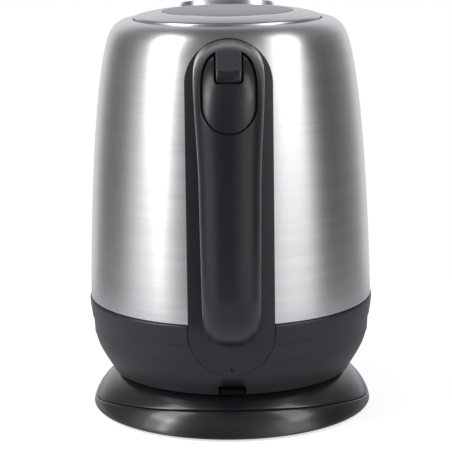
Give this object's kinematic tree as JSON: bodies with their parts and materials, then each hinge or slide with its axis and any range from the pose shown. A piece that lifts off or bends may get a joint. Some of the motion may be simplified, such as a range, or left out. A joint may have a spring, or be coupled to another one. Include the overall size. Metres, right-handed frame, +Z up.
{
  "type": "electric kettle",
  "caption": "Cordless brushed-steel electric kettle with a hinged lid, latch button, side handle, wide spout and rocker switch, on a round power base.",
  "frame": {"origin": "on the kettle's vertical axis at the level the rubber feet stand on", "axes": "+Z up along the connector's axis, -Y towards the handle, +Y towards the spout, +X to the right when seen from the handle's side"},
  "size_m": [0.1568, 0.2137, 0.2193],
  "materials": {
    "gloss_black": "glossy black",
    "satin_black": "satin black",
    "dark_plastic": "matt dark grey",
    "control_plastic": "matt brown-black",
    "rubber": "matt",
    "silicone": "translucent off-white",
    "clear": "clear",
    "steel": "brushed round the axis",
    "dark_steel": "darker brushed disc",
    "screw_steel": "plated",
    "aluminium": "plain",
    "element": "oxidised sheath",
    "brass": "plain"
  },
  "bodies": {
    "power_base": {"base_cover": "gloss_black", "base_tray": "gloss_black", "base_connector": "dark_plastic", "contact_sleeve": "brass", "contact_track": "brass", "cord_inlet": "dark_plastic", "rubber_foot_1": "rubber", "rubber_foot_2": "rubber", "rubber_foot_3": "rubber", "rubber_foot_4": "rubber", "base_screw_1": "screw_steel", "base_screw_2": "screw_steel", "base_screw_3": "screw_steel"},
    "socket": {"kettle_socket": "dark_plastic", "socket_pin": "brass", "socket_ring": "brass"},
    "kettle": {"base_skirt": "satin_black", "bottom_cover": "satin_black", "bottom_screw_1": "screw_steel", "bottom_screw_2": "screw_steel", "bottom_screw_3": "screw_steel", "heater_plate": "steel", "heat_spreader": "aluminium", "heating_element": "element", "control_unit": "control_plastic", "bimetal_disc": "brass", "steel_body": "steel", "mouth_collar": "satin_black", "hinge_pin": "screw_steel", "lid_spring": "screw_steel", "spout": "steel", "spout_filter": "dark_plastic", "handle_frame": "satin_black", "level_window": "clear", "frame_screw_1": "screw_steel", "frame_screw_2": "screw_steel", "handle_grip": "satin_black", "handle_liner": "satin_black", "handle_cap": "satin_black", "button_spring": "screw_steel", "steam_tube": "silicone", "switch_pin": "screw_steel", "trip_pin": "screw_steel"},
    "lid": {"lid_shell": "steel", "lid_disc": "dark_steel", "lid_liner": "satin_black", "lid_seal": "silicone"},
    "release_button": {"release_button": "satin_black"},
    "latch_bolt": {"latch_bolt": "control_plastic"},
    "power_switch": {"power_switch": "satin_black"},
    "trip_lever": {"trip_lever": "control_plastic"}
  },
  "joints": [
    {"name": "lift_off", "type": "slide", "parent": "power_base", "child": "socket", "axis": [0, 0, 1], "range_m": [0, 0.06]},
    {"name": "swivel", "type": "hinge", "parent": "socket", "child": "kettle", "pos_m": [0, 0, 0.0228], "axis": [0, 0, 1], "continuous": true},
    {"name": "lid_hinge", "type": "hinge", "parent": "kettle", "child": "lid", "pos_m": [0, -0.053, 0.2121], "axis": [1, 0, 0], "range_deg": [0, 75]},
    {"name": "button_press", "type": "slide", "parent": "kettle", "child": "release_button", "axis": [0, 0.6088, -0.7934], "range_m": [0, 0.0024], "stiffness_N_per_m": 200, "springref_m": -0.003, "deforming": ["button_spring"]},
    {"name": "bolt_draw", "type": "slide", "parent": "kettle", "child": "latch_bolt", "axis": [0, -1, 0], "range_m": [0, 0.0024]},
    {"name": "switch_tilt", "type": "hinge", "parent": "kettle", "child": "power_switch", "pos_m": [0, -0.052, 0.03], "axis": [1, 0, 0], "range_deg": [0, 7]},
    {"name": "trip", "type": "hinge", "parent": "kettle", "child": "trip_lever", "pos_m": [0, -0.021, 0.0352], "axis": [1, 0, 0], "range_deg": [-10.5, 0]}
  ],
  "couplings": [
    {"joint": "bolt_draw", "follows": "button_press", "ratio": 1},
    {"joint": "trip", "follows": "switch_tilt", "ratio": -1.5}
  ]
}
